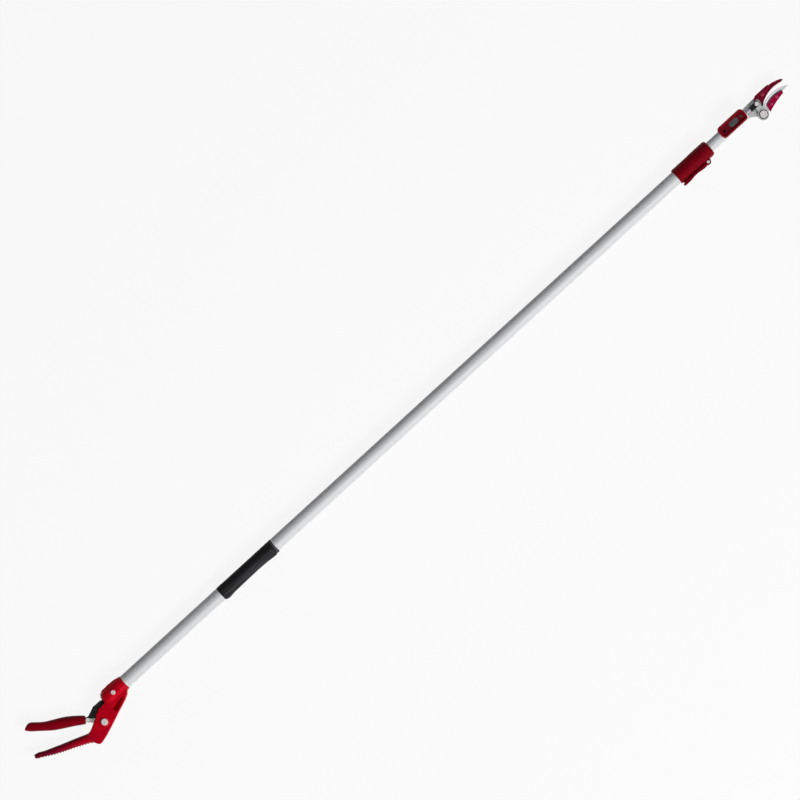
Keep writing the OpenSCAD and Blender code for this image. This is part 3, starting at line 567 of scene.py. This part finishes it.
def roundOff(piece, levels):
    bpy.ops.mesh.select_all(action="SELECT")
    bpy.ops.mesh.normals_make_consistent(inside=False)
    bpy.ops.object.mode_set(mode="OBJECT")
    smooth = piece.modifiers.new("curve", "SUBSURF")
    smooth.levels = levels
    smooth.render_levels = levels
    bpy.ops.object.modifier_apply(modifier="curve")
    bpy.ops.object.shade_smooth()


# trigger grip dipped in vinyl: a thick sleeve with a round lip at its root and a slanted tip,
# as a path of points on the pole, each with half width, half depth and slant
vinylLook = {
    "turn": 144.0, "sides": 32, "levels": 2,
    "path": [((-96.4, -3.2), 0.5, 0.5, 0), ((-96.4, -3.2), 5.6, 5.4, 0), ((-96.5, -3.1), 7.1, 6.9, 0),
             ((-97.4, -2.4), 7.8, 7.4, 0), ((-101, 0.5), 8.5, 7.9, 0), ((-111, 8.1), 9.3, 8.3, 0),
             ((-126, 18.2), 10.5, 8.7, 0), ((-144, 28), 10.1, 8.5, 0), ((-158.5, 37.8), 8.1, 7.9, 0),
             ((-168, 45.9), 8.1, 7.6, 0), ((-175, 51.8), 8.5, 7.2, 8), ((-179.3, 55.6), 8.3, 6.8, 20),
             ((-182.4, 58.4), 7.6, 6.0, 30), ((-183.5, 59.3), 5.8, 4.4, 32),
             ((-184, 59.7), 2.6, 2.0, 32), ((-184.1, 59.8), 0.5, 0.5, 32)],
}


def makeTriggerGrip():
    turn = math.radians(vinylLook["turn"])
    rings = []
    for (x, y), width, depth, slant in vinylLook["path"]:
        along = x * math.cos(turn) + y * math.sin(turn)
        aside = y * math.cos(turn) - x * math.sin(turn)
        rings.append((along, aside, width, depth, slant))
    piece = loftRings(rings, vinylLook["sides"])
    bpy.ops.mesh.select_all(action="SELECT")
    bpy.ops.mesh.fill_holes(sides=0)
    roundOff(piece, vinylLook["levels"])
    piece.rotation_euler = (0, 0, turn)
    piece.location = poleStart
    settle(piece, "vinylTrigger", finishes["dippedVinyl"], "trigger", ["trigger_grip"])
    print("vinylTrigger", len(piece.data.polygons), "faces")


makeTriggerGrip()


# rubber hand grip: a thin sleeve that hangs a little low, with a swell at each end and a groove
# before its last ring, as a profile of (along, hang, radius)
sleeveLook = {
    "start": 232.0, "bore": 12.53, "sides": 64, "edge": 0.22, "edgeSteps": 2, "edgeAngle": 20,
    "profile": [(0.8, -0.3, 12.85), (2.2, -0.6, 13.4), (4.6, -1.0, 14.0), (8, -1.25, 14.4),
                (12, -1.2, 14.3), (21, -0.75, 13.6), (60, -0.4, 13.2), (80, -0.35, 13.1),
                (100, -0.6, 13.4), (113, -1.2, 14.0), (120.4, -1.35, 14.2), (122.6, -1.2, 14.0),
                (123, -0.9, 13.5), (125.4, -0.85, 13.4), (125.8, -0.9, 13.9), (129, -0.8, 13.8),
                (130, -0.5, 13.2)],
}


def makeHandSleeve():
    outer = sleeveLook["profile"]
    inner = [(along, 0, sleeveLook["bore"]) for along in (outer[-1][0], outer[0][0])]
    start = sleeveLook["start"]
    rings = [(start + along, hang, radius, radius, 0) for along, hang, radius in outer + inner]
    piece = loftRings(rings, sleeveLook["sides"])
    bpy.ops.mesh.select_all(action="DESELECT")
    bpy.ops.mesh.select_non_manifold()
    bpy.ops.mesh.bridge_edge_loops()
    bpy.ops.mesh.select_all(action="SELECT")
    bpy.ops.mesh.normals_make_consistent(inside=False)
    bpy.ops.object.mode_set(mode="OBJECT")
    edge = piece.modifiers.new("edge", "BEVEL")
    edge.width = sleeveLook["edge"] / millimetres
    edge.segments = sleeveLook["edgeSteps"]
    edge.limit_method = "ANGLE"
    edge.angle_limit = math.radians(sleeveLook["edgeAngle"])
    bpy.ops.object.modifier_apply(modifier="edge")
    bpy.ops.object.shade_smooth()
    piece.location = poleStart
    settle(piece, "rubberSleeve", finishes["gripRubber"], "pole", ["hand_grip"])
    print("rubberSleeve", len(piece.data.polygons), "faces")


makeHandSleeve()


# camera square above the pole, with a long lens; the frame's width and the far limit are in metres
cameraLook = {"lens": 200.0, "sensor": 36.0, "frameWidth": 1.425, "turn": 42.435, "aim": (701.2, 39.6),
              "farLimit": 100}


def setCamera():
    aim = polePoint(*cameraLook["aim"])
    distance = cameraLook["frameWidth"] * cameraLook["lens"] / cameraLook["sensor"]
    deselectAll()
    bpy.ops.object.camera_add(location=aim + Vector((0, 0, distance)),
                              rotation=(0, 0, -math.radians(cameraLook["turn"])))
    camera = bpy.context.object
    camera.name = "photoCamera"
    camera.data.lens = cameraLook["lens"]
    camera.data.sensor_width = cameraLook["sensor"]
    camera.data.clip_end = cameraLook["farLimit"]
    bpy.context.scene.camera = camera


# soft light from the pole's lower side, and a weak one from the other side, placed in metres
lampLooks = {
    "keyPanel": {"place": (0.2, -2.75, 2.6), "size": (3.2, 1.6), "power": 122.0},
    "fillPanel": {"place": (0.4, 3.2, 2.0), "size": (2.4, 0.7), "power": 4.0},
}


def setLamp(name, look):
    deselectAll()
    spot = Vector(look["place"])
    aim = (-spot).to_track_quat("-Z", "Y").to_euler()
    bpy.ops.object.light_add(type="AREA", location=spot, rotation=aim)
    lamp = bpy.context.object
    lamp.name = name
    lamp.data.shape = "RECTANGLE"
    lamp.data.size, lamp.data.size_y = look["size"]
    lamp.data.energy = look["power"]


# pale floor that reads as white to the eye and in reflections, and keeps a soft shadow;
# its side and level are in metres
floorLook = {"side": 30.0, "level": -0.0005, "color": (0.86, 0.86, 0.86), "roughness": 0.9,
             "whiteShare": 0.9}
worldLook = {"color": (0.9, 0.92, 0.95), "strength": 0.07}


def seenDirectly(tree):
    path = tree.nodes.new("ShaderNodeLightPath")
    first = tree.nodes.new("ShaderNodeMath")
    first.operation = "MAXIMUM"
    second = tree.nodes.new("ShaderNodeMath")
    second.operation = "MAXIMUM"
    tree.links.new(path.outputs["Is Camera Ray"], first.inputs[0])
    tree.links.new(path.outputs["Is Glossy Ray"], first.inputs[1])
    tree.links.new(first.outputs["Value"], second.inputs[0])
    tree.links.new(path.outputs["Is Transmission Ray"], second.inputs[1])
    return second.outputs["Value"]


def setFloor():
    deselectAll()
    bpy.ops.mesh.primitive_plane_add(size=floorLook["side"], location=(0, 0, floorLook["level"]))
    floor = bpy.context.object
    floor.name = "paleFloor"
    finish, shader = startFinish("floorPaper", floorLook["color"], floorLook["roughness"])
    tree = finish.node_tree
    glow = tree.nodes.new("ShaderNodeEmission")
    mix = tree.nodes.new("ShaderNodeMixShader")
    share = tree.nodes.new("ShaderNodeMath")
    share.operation = "MULTIPLY"
    share.inputs[1].default_value = floorLook["whiteShare"]
    tree.links.new(seenDirectly(tree), share.inputs[0])
    tree.links.new(share.outputs["Value"], mix.inputs["Fac"])
    tree.links.new(shader.outputs["BSDF"], mix.inputs[1])
    tree.links.new(glow.outputs["Emission"], mix.inputs[2])
    tree.links.new(mix.outputs["Shader"], tree.nodes["Material Output"].inputs["Surface"])
    floor.data.materials.append(finish)


def setWorld():
    world = bpy.data.worlds.new("studio")
    world.use_nodes = True
    tree = world.node_tree
    room = tree.nodes["Background"]
    room.inputs["Color"].default_value = (*worldLook["color"], 1)
    room.inputs["Strength"].default_value = worldLook["strength"]
    white = tree.nodes.new("ShaderNodeBackground")
    white.inputs["Color"].default_value = (1, 1, 1, 1)
    mix = tree.nodes.new("ShaderNodeMixShader")
    tree.links.new(seenDirectly(tree), mix.inputs["Fac"])
    tree.links.new(room.outputs["Background"], mix.inputs[1])
    tree.links.new(white.outputs["Background"], mix.inputs[2])
    tree.links.new(mix.outputs["Shader"], tree.nodes["World Output"].inputs["Surface"])
    bpy.context.scene.world = world


setCamera()
for lampName, look in lampLooks.items():
    setLamp(lampName, look)
setFloor()
setWorld()
bpy.context.scene.view_settings.view_transform = "Standard"
print("camera, lamps and floor set")
